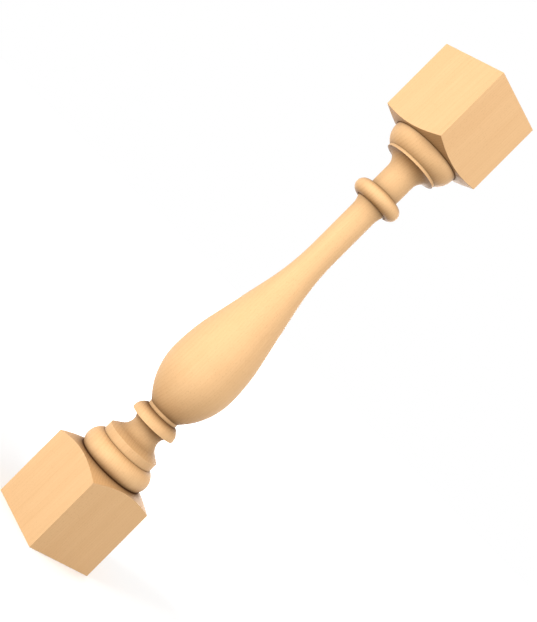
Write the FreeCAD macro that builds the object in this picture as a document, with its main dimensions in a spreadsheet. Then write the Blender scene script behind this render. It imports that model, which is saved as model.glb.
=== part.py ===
import FreeCAD, Part
import math
import os
from collections import namedtuple
from itertools import accumulate

import Sketcher

# A stair baluster turned from one square blank of wood, with a square block left at each end.
# Its axis is Z, its bottom end lies on Z = 0, and the faces of its blocks are square to X and Y.

# Heights in millimetres, stacked from the bottom end to the top end.
HEIGHTS = {
    "base_arris": 98.5,  # bottom block, along its corner edges
    "torus_rise": 22.0,  # corners of the bottom block to the widest line of the torus
    "torus_crown": 16.5,  # widest line of the torus to the band
    "band_height": 11.0,
    "flank_rise": 7.0,  # straight flank that leads into the scotia
    "hollow_rise": 12.5,  # round of the scotia, up to its narrowest line
    "lip_rise": 10.5,  # narrowest line of the scotia to the underside of the astragal
    "astragal_foot": 1.5,  # underside of the astragal to its widest line
    "astragal_crown": 14.0,  # widest line of the astragal to the collar
    "collar_height": 4.5,
    "belly_foot": 63.5,  # collar to the widest line of the vase
    "belly_crown": 53.0,  # widest line of the vase to its straight taper
    "taper_rise": 75.0,
    "sweep_rise": 69.5,  # straight taper to the neck
    "neck_length": 64.0,
    "flare_rise": 12.5,  # neck to the bead
    "bead_height": 19.0,
    "throat_length": 28.5,  # bead to the cavetto
    "cavetto_round": 16.0,  # quarter-round hollow, as wide as it is high
    "fillet_height": 3.5,
    "ovolo_crown": 20.0,  # fillet to the widest line of the ovolo
    "ovolo_rise": 10.5,  # widest line of the ovolo to the corners of the top block
    "top_arris": 97.0,  # top block, along its corner edges
}

# Widths and diameters in millimetres, and how far each shoulder rises towards the axis.
WIDTHS = {
    "blank_width": 100.0,  # side of the square blank
    "base_shoulder": 8.5,  # corner of the bottom block to the middle of the arc on its face
    "torus_diameter": 94.0,
    "band_diameter": 72.5,
    "hollow_diameter": 40.5,  # scotia, at its narrowest
    "lip_diameter": 51.0,  # scotia, where it meets the underside of the astragal
    "astragal_diameter": 62.5,
    "collar_diameter": 43.0,
    "belly_diameter": 94.0,
    "neck_diameter": 34.0,
    "flare_diameter": 41.0,  # neck, where it meets the bead
    "bead_diameter": 64.5,
    "throat_diameter": 39.0,
    "ovolo_diameter": 92.0,
    "top_shoulder": 6.5,  # corner of the top block to the middle of the arc on its face
}

SIZES = {**HEIGHTS, **WIDTHS}

# Height above the bottom end at which each stretch of HEIGHTS ends.
LEVEL = dict(zip(HEIGHTS, accumulate(HEIGHTS.values())))

FULL_TURN = 360

# Points of a sketch's geometry, as the sketcher numbers them.
START, END, CENTRE = 1, 2, 3
ORIGIN = (-1, START)
SKETCH_NORMAL = FreeCAD.Vector(0, 0, 1)

# One edge of an outline: where the outline comes in, where it goes on and, on an arc, the centre.
Edge = namedtuple("Edge", "foot head centre")


def radius(name):
    return SIZES[name] / 2


def vector(place):
    return FreeCAD.Vector(place[0], place[1], 0)


def add_sheet(doc):
    """Writes every size into the sheet, one row each, under its own name."""
    sheet = doc.addObject("Spreadsheet::Sheet", "Sizes")
    for row, (name, size) in enumerate(SIZES.items(), start=1):
        sheet.set(f"A{row}", name)
        sheet.set(f"B{row}", str(size))
        sheet.setAlias(f"B{row}", name)


def add_sketch(body, name, role):
    """Adds a sketch that lies on one of the body's own origin planes."""
    sketch = body.newObject("Sketcher::SketchObject", name)
    plane = next(item for item in body.Origin.OriginFeatures if item.Role == role)
    sketch.AttachmentSupport = [(plane, "")]
    sketch.MapMode = "FlatFace"
    return sketch


def constrain(sketch, kind, *points):
    """Ties points of a sketch together by a geometric rule."""
    numbers = [number for point in points for number in point]
    return sketch.addConstraint(Sketcher.Constraint(kind, *numbers))


def dimension(sketch, kind, first, second, length, expression):
    """Adds a dimension between two points and binds it to the sheet."""
    index = sketch.addConstraint(Sketcher.Constraint(kind, *first, *second, length))
    sketch.setExpression(f"Constraints[{index}]", expression)


def set_radius(sketch, point, name):
    dimension(sketch, "DistanceX", ORIGIN, point, radius(name), f"Sizes.{name} / 2")


def set_rise(sketch, low, high, name):
    dimension(sketch, "DistanceY", low, high, SIZES[name], f"Sizes.{name}")


def mark(sketch, place):
    """Adds a construction point, which holds a dimension but is no part of the outline."""
    return sketch.addGeometry(Part.Point(vector(place)), True), START


def line(sketch, foot, head):
    index = sketch.addGeometry(Part.LineSegment(vector(foot), vector(head)))
    return Edge((index, START), (index, END), None)


def bulge(sketch, centre, foot, head):
    """Adds an arc that swells away from the axis; foot and head give the directions of its ends."""
    circle = Part.Circle(vector(centre), SKETCH_NORMAL, math.dist(centre, head))
    first = math.atan2(foot[1] - centre[1], foot[0] - centre[0])
    last = math.atan2(head[1] - centre[1], head[0] - centre[0])
    index = sketch.addGeometry(Part.ArcOfCircle(circle, first, last))
    return Edge((index, START), (index, END), (index, CENTRE))


def hollow(sketch, centre, foot, head):
    """Adds an arc that is hollowed towards the axis, which runs from its head to its foot."""
    circle = Part.Circle(vector(centre), SKETCH_NORMAL, math.dist(centre, head))
    first = math.atan2(head[1] - centre[1], head[0] - centre[0]) % math.tau
    last = math.atan2(foot[1] - centre[1], foot[0] - centre[0]) % math.tau
    index = sketch.addGeometry(Part.ArcOfCircle(circle, first, last))
    return Edge((index, END), (index, START), (index, CENTRE))


def upright_centre(upright, other):
    """Centre of the arc through two points that runs parallel to the axis at the first one."""
    across = other[0] - upright[0]
    along = other[1] - upright[1]
    return upright[0] + (across**2 + along**2) / (2 * across), upright[1]


def set_widest(sketch, arc, place, name):
    """Gives an arc its diameter at its widest line and returns the mark on that line."""
    widest = mark(sketch, place)
    sketch.addConstraint(Sketcher.Constraint("PointOnObject", *widest, arc.foot[0]))
    constrain(sketch, "Horizontal", widest, arc.centre)
    set_radius(sketch, widest, name)
    return widest


def add_shoulder(sketch, edge, corner_level, face_level):
    """Holds a shoulder's slope at the block's corners and at the middle of its faces."""
    half = radius("blank_width")
    half_diagonal = math.hypot(half, half)
    corner = mark(sketch, (half_diagonal, corner_level))
    middle = mark(sketch, (half, face_level))
    for point in (corner, middle):
        sketch.addConstraint(Sketcher.Constraint("PointOnObject", *point, edge.foot[0]))
    bound_diagonal = "hypot(Sizes.blank_width / 2; Sizes.blank_width / 2)"
    dimension(sketch, "DistanceX", ORIGIN, corner, half_diagonal, bound_diagonal)
    set_radius(sketch, middle, "blank_width")
    return corner, middle


def base_torus(sketch):
    """Shoulder of the bottom block, and the torus and the band that stand on it."""
    corner_level = LEVEL["base_arris"]
    face_level = corner_level + SIZES["base_shoulder"]
    swell = (radius("torus_diameter"), LEVEL["torus_rise"])
    band_foot = (radius("band_diameter"), LEVEL["torus_crown"])
    band_head = (radius("band_diameter"), LEVEL["band_height"])
    crease = (radius("torus_diameter"), face_level)

    shoulder = line(sketch, (SIZES["blank_width"], corner_level), crease)
    torus = bulge(sketch, upright_centre(swell, band_foot), crease, band_foot)
    band = line(sketch, band_foot, band_head)

    corner, middle = add_shoulder(sketch, shoulder, corner_level, face_level)
    widest = set_widest(sketch, torus, swell, "torus_diameter")
    constrain(sketch, "Vertical", band.foot, band.head)
    dimension(sketch, "DistanceX", ORIGIN, shoulder.foot, SIZES["blank_width"], "Sizes.blank_width")
    set_radius(sketch, band.foot, "band_diameter")
    set_rise(sketch, ORIGIN, corner, "base_arris")
    set_rise(sketch, corner, middle, "base_shoulder")
    set_rise(sketch, corner, widest, "torus_rise")
    set_rise(sketch, widest, band.foot, "torus_crown")
    set_rise(sketch, band.foot, band.head, "band_height")
    return [shoulder, torus, band], []


def base_scotia(sketch):
    """Scotia above the band: a straight flank, a round hollow and a lip that flares again."""
    fall = radius("band_diameter") - radius("hollow_diameter")
    slope = fall / (SIZES["flank_rise"] + SIZES["hollow_rise"] / 2)
    flank_foot = (radius("band_diameter"), LEVEL["band_height"])
    narrowest = (radius("hollow_diameter"), LEVEL["hollow_rise"])
    flank_head = (narrowest[0] + slope * SIZES["hollow_rise"] / 2, LEVEL["flank_rise"])
    lip_head = (radius("lip_diameter"), LEVEL["lip_rise"])

    flank = line(sketch, flank_foot, flank_head)
    scotia = hollow(sketch, upright_centre(narrowest, flank_head), flank_head, narrowest)
    lip = hollow(sketch, upright_centre(narrowest, lip_head), narrowest, lip_head)

    constrain(sketch, "Horizontal", scotia.centre, scotia.head)
    set_radius(sketch, scotia.head, "hollow_diameter")
    set_radius(sketch, lip.head, "lip_diameter")
    set_rise(sketch, flank.foot, flank.head, "flank_rise")
    set_rise(sketch, scotia.foot, scotia.head, "hollow_rise")
    set_rise(sketch, lip.foot, lip.head, "lip_rise")
    return [flank, scotia, lip], [flank, scotia]


def base_astragal(sketch):
    """Astragal with a flat underside, and the thin collar that the vase stands on."""
    swell = (radius("astragal_diameter"), LEVEL["astragal_foot"])
    inner_edge = (radius("lip_diameter"), LEVEL["lip_rise"])
    outer_edge = (radius("astragal_diameter"), LEVEL["lip_rise"])
    collar_foot = (radius("collar_diameter"), LEVEL["astragal_crown"])
    collar_head = (radius("collar_diameter"), LEVEL["collar_height"])

    underside = line(sketch, inner_edge, outer_edge)
    astragal = bulge(sketch, upright_centre(swell, collar_foot), outer_edge, collar_foot)
    collar = line(sketch, collar_foot, collar_head)

    widest = set_widest(sketch, astragal, swell, "astragal_diameter")
    constrain(sketch, "Horizontal", underside.foot, underside.head)
    constrain(sketch, "Vertical", collar.foot, collar.head)
    set_radius(sketch, collar.foot, "collar_diameter")
    set_rise(sketch, astragal.foot, widest, "astragal_foot")
    set_rise(sketch, widest, collar.foot, "astragal_crown")
    set_rise(sketch, collar.foot, collar.head, "collar_height")
    return [underside, astragal, collar], []


def vase(sketch):
    """Vase: a round belly, a straight taper, a sweep into the slim neck and a flare under the bead."""
    fall = radius("belly_diameter") - radius("neck_diameter")
    slope = fall / (SIZES["taper_rise"] + (SIZES["belly_crown"] + SIZES["sweep_rise"]) / 2)
    belly_foot = (radius("collar_diameter"), LEVEL["collar_height"])
    widest = (radius("belly_diameter"), LEVEL["belly_foot"])
    taper_foot = (widest[0] - slope * SIZES["belly_crown"] / 2, LEVEL["belly_crown"])
    neck_foot = (radius("neck_diameter"), LEVEL["sweep_rise"])
    taper_head = (neck_foot[0] + slope * SIZES["sweep_rise"] / 2, LEVEL["taper_rise"])
    neck_head = (radius("neck_diameter"), LEVEL["neck_length"])
    flare_head = (radius("flare_diameter"), LEVEL["flare_rise"])

    belly = bulge(sketch, upright_centre(widest, belly_foot), belly_foot, widest)
    crown = bulge(sketch, upright_centre(widest, taper_foot), widest, taper_foot)
    taper = line(sketch, taper_foot, taper_head)
    sweep = hollow(sketch, upright_centre(neck_foot, taper_head), taper_head, neck_foot)
    neck = line(sketch, neck_foot, neck_head)
    flare = hollow(sketch, upright_centre(neck_head, flare_head), neck_head, flare_head)

    constrain(sketch, "Horizontal", belly.centre, belly.head)
    constrain(sketch, "Vertical", neck.foot, neck.head)
    set_radius(sketch, belly.head, "belly_diameter")
    set_radius(sketch, neck.foot, "neck_diameter")
    set_radius(sketch, flare.head, "flare_diameter")
    set_rise(sketch, belly.foot, belly.head, "belly_foot")
    set_rise(sketch, crown.foot, crown.head, "belly_crown")
    set_rise(sketch, taper.foot, taper.head, "taper_rise")
    set_rise(sketch, sweep.foot, sweep.head, "sweep_rise")
    set_rise(sketch, neck.foot, neck.head, "neck_length")
    set_rise(sketch, flare.foot, flare.head, "flare_rise")
    return [belly, crown, taper, sweep, neck, flare], [belly, crown, taper, sweep, neck]


def necking(sketch):
    """Half-round bead, the throat above it, and a quarter-round cavetto under a thin fillet."""
    bead_foot = (radius("flare_diameter"), LEVEL["flare_rise"])
    throat_foot = (radius("throat_diameter"), LEVEL["bead_height"])
    swell = (radius("bead_diameter"), (bead_foot[1] + throat_foot[1]) / 2)
    throat_head = (radius("throat_diameter"), LEVEL["throat_length"])
    fillet_foot = (throat_head[0] + SIZES["cavetto_round"], LEVEL["cavetto_round"])
    fillet_head = (fillet_foot[0], LEVEL["fillet_height"])

    bead = bulge(sketch, upright_centre(swell, throat_foot), bead_foot, throat_foot)
    throat = line(sketch, throat_foot, throat_head)
    cavetto = hollow(sketch, upright_centre(throat_head, fillet_foot), throat_head, fillet_foot)
    fillet = line(sketch, fillet_foot, fillet_head)

    set_widest(sketch, bead, swell, "bead_diameter")
    constrain(sketch, "Vertical", throat.foot, throat.head)
    constrain(sketch, "Vertical", cavetto.centre, cavetto.head)
    constrain(sketch, "Vertical", fillet.foot, fillet.head)
    set_radius(sketch, throat.foot, "throat_diameter")
    set_rise(sketch, bead.foot, bead.head, "bead_height")
    set_rise(sketch, throat.foot, throat.head, "throat_length")
    set_rise(sketch, cavetto.foot, cavetto.head, "cavetto_round")
    set_rise(sketch, fillet.foot, fillet.head, "fillet_height")
    return [bead, throat, cavetto, fillet], [throat]


def top_ovolo(sketch):
    """Ovolo under the top block, the shoulder of that block, and the line that closes the outline."""
    corner_level = LEVEL["ovolo_rise"]
    face_level = corner_level - SIZES["top_shoulder"]
    ovolo_foot = (radius("throat_diameter") + SIZES["cavetto_round"], LEVEL["fillet_height"])
    swell = (radius("ovolo_diameter"), LEVEL["ovolo_crown"])
    crease = (radius("ovolo_diameter"), face_level)
    outside = (SIZES["blank_width"], corner_level)

    centre = upright_centre(swell, ovolo_foot)
    ovolo = bulge(sketch, centre, ovolo_foot, crease)
    shoulder = line(sketch, crease, outside)
    closing = line(sketch, outside, (SIZES["blank_width"], LEVEL["base_arris"]))

    corner, middle = add_shoulder(sketch, shoulder, corner_level, face_level)
    widest = set_widest(sketch, ovolo, swell, "ovolo_diameter")
    constrain(sketch, "Vertical", closing.foot, closing.head)
    set_rise(sketch, ovolo.foot, widest, "ovolo_crown")
    set_rise(sketch, widest, corner, "ovolo_rise")
    set_rise(sketch, middle, corner, "top_shoulder")
    return [ovolo, shoulder, closing], []


def add_blank(body):
    """Square blank, as long as all the heights together."""
    sketch = add_sketch(body, "BlankSection", "XY_Plane")
    half = SIZES["blank_width"] / 2
    corners = [(-half, -half), (half, -half), (half, half), (-half, half)]
    sides = [line(sketch, start, end) for start, end in zip(corners, corners[1:] + corners[:1])]
    for side, follower in zip(sides, sides[1:] + sides[:1]):
        constrain(sketch, "Coincident", side.head, follower.foot)
    for side, kind in zip(sides, ("Horizontal", "Vertical", "Horizontal", "Vertical")):
        constrain(sketch, kind, side.foot, side.head)
    constrain(sketch, "Symmetric", sides[0].foot, sides[2].foot, ORIGIN)
    width = SIZES["blank_width"]
    dimension(sketch, "DistanceX", sides[0].foot, sides[0].head, width, "Sizes.blank_width")
    dimension(sketch, "DistanceY", sides[1].foot, sides[1].head, width, "Sizes.blank_width")

    blank = body.newObject("PartDesign::Pad", "Blank")
    blank.Profile = sketch
    blank.setExpression("Length", " + ".join(f"Sizes.{name}" for name in HEIGHTS))
    return blank


def add_turning(body):
    """Turned middle: everything outside one outline is cut away all round the axis."""
    sketch = add_sketch(body, "TurnedOutline", "XZ_Plane")
    edges = []
    smooth = []
    for section in (base_torus, base_scotia, base_astragal, vase, necking, top_ovolo):
        section_edges, section_smooth = section(sketch)
        edges += section_edges
        smooth += section_smooth
    for edge, follower in zip(edges, edges[1:] + edges[:1]):
        constrain(sketch, "Tangent" if edge in smooth else "Coincident", edge.head, follower.foot)

    turning = body.newObject("PartDesign::Groove", "Turning")
    turning.Profile = sketch
    turning.ReferenceAxis = (sketch, ["V_Axis"])
    turning.Angle = FULL_TURN
    return turning


def check(doc, body, blank, turning):
    """Stops the build if an object failed, a sketch can still move or the turning cut nothing."""
    failed = [item.Name for item in doc.Objects if "Invalid" in item.State or "Error" in item.State]
    if failed:
        raise RuntimeError("failed objects: " + ", ".join(failed))
    sketches = [item for item in doc.Objects if item.isDerivedFrom("Sketcher::SketchObject")]
    loose = [sketch.Name for sketch in sketches if not sketch.FullyConstrained]
    if loose:
        raise RuntimeError("sketches with free points: " + ", ".join(loose))
    if body.Shape.isNull() or not body.Shape.isValid():
        raise RuntimeError("the solid is not valid")
    if turning.Shape.Volume >= blank.Shape.Volume:
        raise RuntimeError("the turning cut nothing")


def build():
    doc = FreeCAD.newDocument("Baluster")
    add_sheet(doc)
    doc.recompute()
    body = doc.addObject("PartDesign::Body", "Baluster")
    body.Label = "baluster"
    body.Placement = FreeCAD.Placement()
    blank = add_blank(body)
    turning = add_turning(body)
    doc.recompute()
    check(doc, body, blank, turning)
    os.makedirs("parts", exist_ok=True)
    body.Shape.exportStep(f"parts/{body.Label}.step")
    box = body.Shape.optimalBoundingBox(False, False)
    print(f"{body.Label}: {box.XLength:.2f} x {box.YLength:.2f} x {box.ZLength:.2f} mm")


build()
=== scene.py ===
import math

import bpy
from mathutils import Matrix, Vector

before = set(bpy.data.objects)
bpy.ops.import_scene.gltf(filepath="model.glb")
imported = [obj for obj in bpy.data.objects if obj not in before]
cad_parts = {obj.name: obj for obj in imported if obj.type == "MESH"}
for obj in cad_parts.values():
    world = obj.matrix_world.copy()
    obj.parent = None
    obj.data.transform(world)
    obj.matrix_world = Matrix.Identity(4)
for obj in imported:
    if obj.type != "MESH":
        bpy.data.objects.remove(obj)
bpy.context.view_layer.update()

# The baluster stands upright on its bottom end. The camera faces one corner of its blocks, level with
# the middle of its height, and is rolled so that the baluster lies across the picture.
IMAGE_HEIGHT_PX = 622
SENSOR_MM = 36.0  # spans the picture's long side, which is its height
FOCAL_PX = 1017.8
CAMERA_DISTANCE = 1.178
CAMERA_HEIGHT = 0.3655
CAMERA_SIDESTEP = 0.0023  # sets the axis slightly above the middle of the picture
AXIS_UP = Vector((0, 0, 1))
TOWARDS_CAMERA = Vector((1, -1, 0)).normalized()
ACROSS = AXIS_UP.cross(TOWARDS_CAMERA)  # towards the lower right of the picture
IMAGE_UP = (AXIS_UP - ACROSS).normalized()
IMAGE_RIGHT = (AXIS_UP + ACROSS).normalized()

FLOOR_SIZE = 60.0
FLOOR_DROP = 0.0002  # keeps the floor just clear of the end face that rests on it
FLOOR_GREY = (0.3, 0.3, 0.3, 1.0)  # the floor's colour for the light that it throws back
SHADOW_RADIUS = (0.25, 0.8)  # the floor takes the shadow inside the first, and none beyond the second
FLOOR_GLOW = (0.05, 1.0)  # light that the floor adds for the camera inside and outside those radii
WHITE = (1.0, 1.0, 1.0, 1.0)
SKY_LIGHT = 0.58

LAMP_DISTANCE = 1.5
LAMP_SIZE = 0.8
# Name, degrees above level, degrees round from the camera towards the lower right, and watts.
LAMPS = (
    ("front_lamp", 33.0, 35.0, 10.7),
    ("side_lamp", 10.0, -50.0, 15.7),
    ("back_lamp", 10.0, 170.0, 8.0),
)

# The blank was sawn beside the heart of the tree, so the growth rings cross it as shallow arcs.
AXIS_FROM_HEART = (-0.09, -0.085, 0.0)
GRAIN_TILT = (math.radians(1.2), math.radians(-0.8), 0.0)
HEART_DISTANCE = 0.125  # about how far the axis is from the heart
RING_WIDTH = 0.0034
RING_WANDER = 0.007
RING_SHARPNESS = 3.0  # narrows the line of late wood
RING_CONTRAST = (0.25, 1.0)  # along the grain and across it

# Cells to the metre round the heart, out from it and along the trunk, and for noise its detail.
WANDER_NOISE = ((14.0, 22.0, 2.2), 2.0)
BAND_NOISE = ((60.0, 90.0, 2.5), 3.0)
FIBRE_NOISE = ((900.0, 900.0, 22.0), 4.0)
FLECK_CELLS = (1100.0, 260.0, 320.0)
NOISE_SPAN = (0.3, 0.7)  # nearly all of the noise lies between these
# How far the bands and the fibres turn early wood into late wood.
BAND_SHARE = 0.3
FIBRE_SHARE = 0.3
FLECK_EDGE = (0.14, 0.3)  # distances from a cell's middle between which its fleck fades out
FLECK_STRENGTH = 0.25

EARLY_WOOD = (0.965, 0.612, 0.312, 1.0)
LATE_WOOD = (0.87, 0.515, 0.248, 1.0)
RAY_WOOD = (0.66, 0.36, 0.165, 1.0)
END_GRAIN_AND_SHADE_TINT = (0.82, 0.75, 0.65, 1.0)  # darker where the surface faces up or down: partly real end grain, partly painted shade
CREASE_SHADE_TINT = (0.05, 0.02, 0.0, 1.0)  # painted shade in the creases and recesses
# Reach in metres and strength of that painted shade, in wide recesses and along sharp creases.
CREASE_SHADE_REACHES = ((0.06, 1.5), (0.002, 1.5))
END_GRAIN_SHADE_POWER = 2.2  # how many times as strongly the painted crease shade darkens end grain

ROUGHNESS = (0.43, 0.57)  # varies from fibre to fibre
SPECULAR_LEVEL = 0.25
SPECULAR_TINT = (0.95, 0.6, 0.3, 1.0)
BUMP_DEPTH = 0.00003
RING_BUMP = 0.5  # height of the late wood next to that of the fibres

# A mix node has sockets for each type of value. These are the ones for colours.
MIX_FACTOR = 0
MIX_FIRST = 6
MIX_SECOND = 7
MIX_RESULT = 2


def add_node(tree, kind, inputs=None, **settings):
    """Adds a shader node; each input takes a plain value or the socket that feeds it."""
    node = tree.nodes.new(kind)
    for name, value in settings.items():
        setattr(node, name, value)
    for name, value in (inputs or {}).items():
        socket = node.inputs[name]
        if isinstance(value, bpy.types.NodeSocket):
            tree.links.new(value, socket)
        else:
            socket.default_value = value
    return node


def new_material(name):
    """A material with an empty node tree, and the socket that its shader goes to."""
    material = bpy.data.materials.new(name)
    material.use_nodes = True
    tree = material.node_tree
    tree.nodes.clear()
    output = add_node(tree, "ShaderNodeOutputMaterial")
    return material, tree, output.inputs["Surface"]


def math_node(tree, operation, first, second=0.0):
    """The result of one sum."""
    return add_node(tree, "ShaderNodeMath", {0: first, 1: second}, operation=operation).outputs[0]


def scaled(tree, vector, scale):
    """The vector with each of its three parts multiplied by its own scale."""
    node = add_node(tree, "ShaderNodeVectorMath", {0: vector, 1: scale}, operation="MULTIPLY")
    return node.outputs[0]


def noise(tree, vector, scale, detail):
    """Noise in cells that are as many to the metre as the three scales say."""
    node = add_node(tree, "ShaderNodeTexNoise", {
        "Vector": scaled(tree, vector, scale),
        "Scale": 1.0,
        "Detail": detail,
    })
    return node.outputs["Fac"]


def remap(tree, value, low, high, new_low, new_high):
    """Carries a value from one range to another, and holds it at the new ends."""
    node = add_node(tree, "ShaderNodeMapRange", {
        "Value": value,
        "From Min": low,
        "From Max": high,
        "To Min": new_low,
        "To Max": new_high,
    })
    return node.outputs["Result"]


def mix_colour(tree, factor, first, second, blend="MIX"):
    """The first colour where the factor is 0, and its blend with the second where it is 1."""
    node = add_node(tree, "ShaderNodeMix", {
        MIX_FACTOR: factor,
        MIX_FIRST: first,
        MIX_SECOND: second,
    }, data_type="RGBA", blend_type=blend)
    return node.outputs[MIX_RESULT]


def grain_space(tree):
    """Place in the tree, in metres: round its heart, out from its heart, and along its trunk."""
    coordinates = add_node(tree, "ShaderNodeTexCoord")
    trunk = add_node(tree, "ShaderNodeMapping", {
        "Vector": coordinates.outputs["Object"],
        "Location": AXIS_FROM_HEART,
        "Rotation": GRAIN_TILT,
    }, vector_type="POINT").outputs["Vector"]
    parts = add_node(tree, "ShaderNodeSeparateXYZ", {0: trunk})
    turn = math_node(tree, "ARCTAN2", parts.outputs["Y"], parts.outputs["X"])
    level = scaled(tree, trunk, (1.0, 1.0, 0.0))
    reach = add_node(tree, "ShaderNodeVectorMath", {0: level}, operation="LENGTH")
    return add_node(tree, "ShaderNodeCombineXYZ", {
        "X": math_node(tree, "MULTIPLY", turn, HEART_DISTANCE),
        "Y": reach.outputs["Value"],
        "Z": parts.outputs["Z"],
    }).outputs["Vector"]


def growth_rings(tree, grain):
    """0 in each ring's early wood, rising to 1 in the narrow line of its late wood."""
    reach = add_node(tree, "ShaderNodeSeparateXYZ", {0: grain}).outputs["Y"]
    wander = remap(tree, noise(tree, grain, *WANDER_NOISE), 0.0, 1.0, -RING_WANDER, RING_WANDER)
    rings = math_node(tree, "DIVIDE", math_node(tree, "ADD", reach, wander), RING_WIDTH)
    return math_node(tree, "POWER", math_node(tree, "FRACT", rings), RING_SHARPNESS)


def ray_flecks(tree, grain):
    """1 in the small ray flecks that are all over beech, 0 between them."""
    cells = add_node(tree, "ShaderNodeTexVoronoi", {
        "Vector": scaled(tree, grain, FLECK_CELLS),
        "Scale": 1.0,
    })
    return remap(tree, cells.outputs["Distance"], *FLECK_EDGE, 1.0, 0.0)


def end_grain(tree):
    """1 where the surface is cut square across the grain, 0 where it runs along it."""
    normal = add_node(tree, "ShaderNodeTexCoord").outputs["Normal"]
    upright = add_node(tree, "ShaderNodeSeparateXYZ", {0: normal}).outputs["Z"]
    return math_node(tree, "MULTIPLY", upright, upright)


def crease_shade_and_dullness(tree, across):
    """0 on open surfaces, rising towards 1 deep in the creases, and faster on end grain; it darkens the
    colour as painted shade and dulls the finish.
    """
    openness = 1.0
    for reach, strength in CREASE_SHADE_REACHES:
        around = add_node(tree, "ShaderNodeAmbientOcclusion", {"Distance": reach}, only_local=True)
        share = math_node(tree, "POWER", around.outputs["AO"], strength)
        openness = math_node(tree, "MULTIPLY", openness, share)
    end_grain_shade_power = remap(tree, across, 0.0, 1.0, 1.0, END_GRAIN_SHADE_POWER)
    return math_node(tree, "SUBTRACT", 1.0, math_node(tree, "POWER", openness, end_grain_shade_power))


def wood_colour(tree, grain, rings, fibres, across):
    """Early and late wood in rings, bands and fibres, with darker flecks, and faces turned up or down
    darkened partly as end grain and partly as painted shade.
    """
    bands = noise(tree, grain, *BAND_NOISE)
    tone = math_node(tree, "MULTIPLY", rings, remap(tree, across, 0.0, 1.0, *RING_CONTRAST))
    tone = math_node(tree, "ADD", tone, remap(tree, bands, *NOISE_SPAN, 0.0, BAND_SHARE))
    tone = math_node(tree, "ADD", tone, remap(tree, fibres, *NOISE_SPAN, 0.0, FIBRE_SHARE))
    colour = mix_colour(tree, tone, EARLY_WOOD, LATE_WOOD)
    flecks = math_node(tree, "MULTIPLY", ray_flecks(tree, grain), FLECK_STRENGTH)
    colour = mix_colour(tree, flecks, colour, RAY_WOOD)
    # faces turned up or down are darkened, partly as real end grain and partly as painted shade
    return mix_colour(tree, across, colour, END_GRAIN_AND_SHADE_TINT, "MULTIPLY")


def make_wood():
    """Pale steamed beech under a matt clear finish that is duller in the creases; painted shade darkens
    the creases, and faces turned up or down are darker, partly as end grain and partly as painted shade.
    """
    material, tree, surface = new_material("turned_beech")
    grain = grain_space(tree)
    rings = growth_rings(tree, grain)
    fibres = noise(tree, grain, *FIBRE_NOISE)
    across = end_grain(tree)
    shade_and_dullness = crease_shade_and_dullness(tree, across)
    colour = wood_colour(tree, grain, rings, fibres, across)
    dullness = remap(tree, fibres, *NOISE_SPAN, *ROUGHNESS)
    height = math_node(tree, "ADD", fibres, math_node(tree, "MULTIPLY", rings, RING_BUMP))
    bump = add_node(tree, "ShaderNodeBump", {"Distance": BUMP_DEPTH, "Height": height})
    shader = add_node(tree, "ShaderNodeBsdfPrincipled", {
        # painted shade: the base colour is darkened in the creases
        "Base Color": mix_colour(tree, shade_and_dullness, colour, CREASE_SHADE_TINT, "MULTIPLY"),
        "Roughness": math_node(tree, "MAXIMUM", dullness, shade_and_dullness),
        "Specular IOR Level": SPECULAR_LEVEL,
        "Specular Tint": SPECULAR_TINT,
        "Normal": bump.outputs["Normal"],
    })
    tree.links.new(shader.outputs["BSDF"], surface)
    return material


def background_rays(tree):
    """1 for the rays that see the background: the camera's own, and those in reflections and glass."""
    path = add_node(tree, "ShaderNodeLightPath")
    seen = math_node(tree, "MAXIMUM", path.outputs["Is Camera Ray"], path.outputs["Is Glossy Ray"])
    return math_node(tree, "MAXIMUM", seen, path.outputs["Is Transmission Ray"])


def make_floor_material():
    """Pale paper that takes the shadow near the baluster, and is white to the camera all round."""
    material, tree, surface = new_material("pale_floor")
    seen = background_rays(tree)
    place = add_node(tree, "ShaderNodeTexCoord").outputs["Object"]
    reach = add_node(tree, "ShaderNodeVectorMath", {0: place}, operation="LENGTH").outputs["Value"]
    glow = add_node(tree, "ShaderNodeEmission", {
        "Color": WHITE,
        "Strength": math_node(tree, "MULTIPLY", seen, remap(tree, reach, *SHADOW_RADIUS, *FLOOR_GLOW)),
    })
    paper = add_node(tree, "ShaderNodeBsdfDiffuse", {"Color": mix_colour(tree, seen, FLOOR_GREY, WHITE)})
    both = add_node(tree, "ShaderNodeAddShader", {
        0: paper.outputs["BSDF"],
        1: glow.outputs["Emission"],
    })
    tree.links.new(both.outputs["Shader"], surface)
    return material


def add_floor():
    """A wide flat sheet under the baluster."""
    half = FLOOR_SIZE / 2
    corners = [(-half, -half), (half, -half), (half, half), (-half, half)]
    mesh = bpy.data.meshes.new("floor")
    mesh.from_pydata([(x, y, -FLOOR_DROP) for x, y in corners], [], [(0, 1, 2, 3)])
    mesh.materials.append(make_floor_material())
    floor = bpy.data.objects.new("floor", mesh)
    bpy.context.scene.collection.objects.link(floor)


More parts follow.
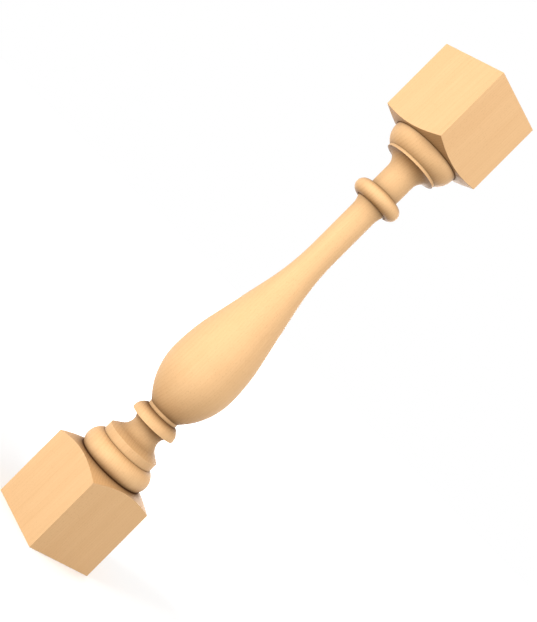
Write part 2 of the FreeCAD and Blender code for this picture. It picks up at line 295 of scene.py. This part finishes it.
def add_world():
    """White to the camera, and a soft even light on the baluster."""
    world = bpy.data.worlds.new("studio")
    world.use_nodes = True
    tree = world.node_tree
    tree.nodes.clear()
    seen = add_node(tree, "ShaderNodeBackground", {"Color": WHITE, "Strength": 1.0})
    light = add_node(tree, "ShaderNodeBackground", {"Color": WHITE, "Strength": SKY_LIGHT})
    mix = add_node(tree, "ShaderNodeMixShader", {
        0: background_rays(tree),
        1: light.outputs["Background"],
        2: seen.outputs["Background"],
    })
    output = add_node(tree, "ShaderNodeOutputWorld")
    tree.links.new(mix.outputs["Shader"], output.inputs["Surface"])
    bpy.context.scene.world = world


def add_lamp(name, rise_degrees, turn_degrees, watts):
    """A square soft box that faces the middle of the baluster."""
    rise = math.radians(rise_degrees)
    turn = math.radians(turn_degrees)
    level = TOWARDS_CAMERA * math.cos(turn) + ACROSS * math.sin(turn)
    direction = level * math.cos(rise) + AXIS_UP * math.sin(rise)
    data = bpy.data.lights.new(name, "AREA")
    data.size = LAMP_SIZE
    data.energy = watts
    lamp = bpy.data.objects.new(name, data)
    lamp.location = AXIS_UP * CAMERA_HEIGHT + direction * LAMP_DISTANCE
    lamp.rotation_mode = "QUATERNION"
    lamp.rotation_quaternion = direction.to_track_quat("Z", "Y")
    bpy.context.scene.collection.objects.link(lamp)


def add_camera():
    """A camera square to the baluster's axis, with the lens and the distance that fit the photo."""
    data = bpy.data.cameras.new("camera")
    data.sensor_width = SENSOR_MM
    data.lens = FOCAL_PX * SENSOR_MM / IMAGE_HEIGHT_PX
    camera = bpy.data.objects.new("camera", data)
    camera.matrix_world = Matrix((IMAGE_RIGHT, IMAGE_UP, TOWARDS_CAMERA)).transposed().to_4x4()
    camera.location = (
        TOWARDS_CAMERA * CAMERA_DISTANCE + ACROSS * CAMERA_SIDESTEP + AXIS_UP * CAMERA_HEIGHT
    )
    bpy.context.scene.collection.objects.link(camera)
    bpy.context.scene.camera = camera


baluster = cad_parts["baluster"]
baluster.data.materials.clear()
baluster.data.materials.append(make_wood())
add_floor()
add_world()
for lamp_settings in LAMPS:
    add_lamp(*lamp_settings)
add_camera()
bpy.context.scene.view_settings.view_transform = "Standard"
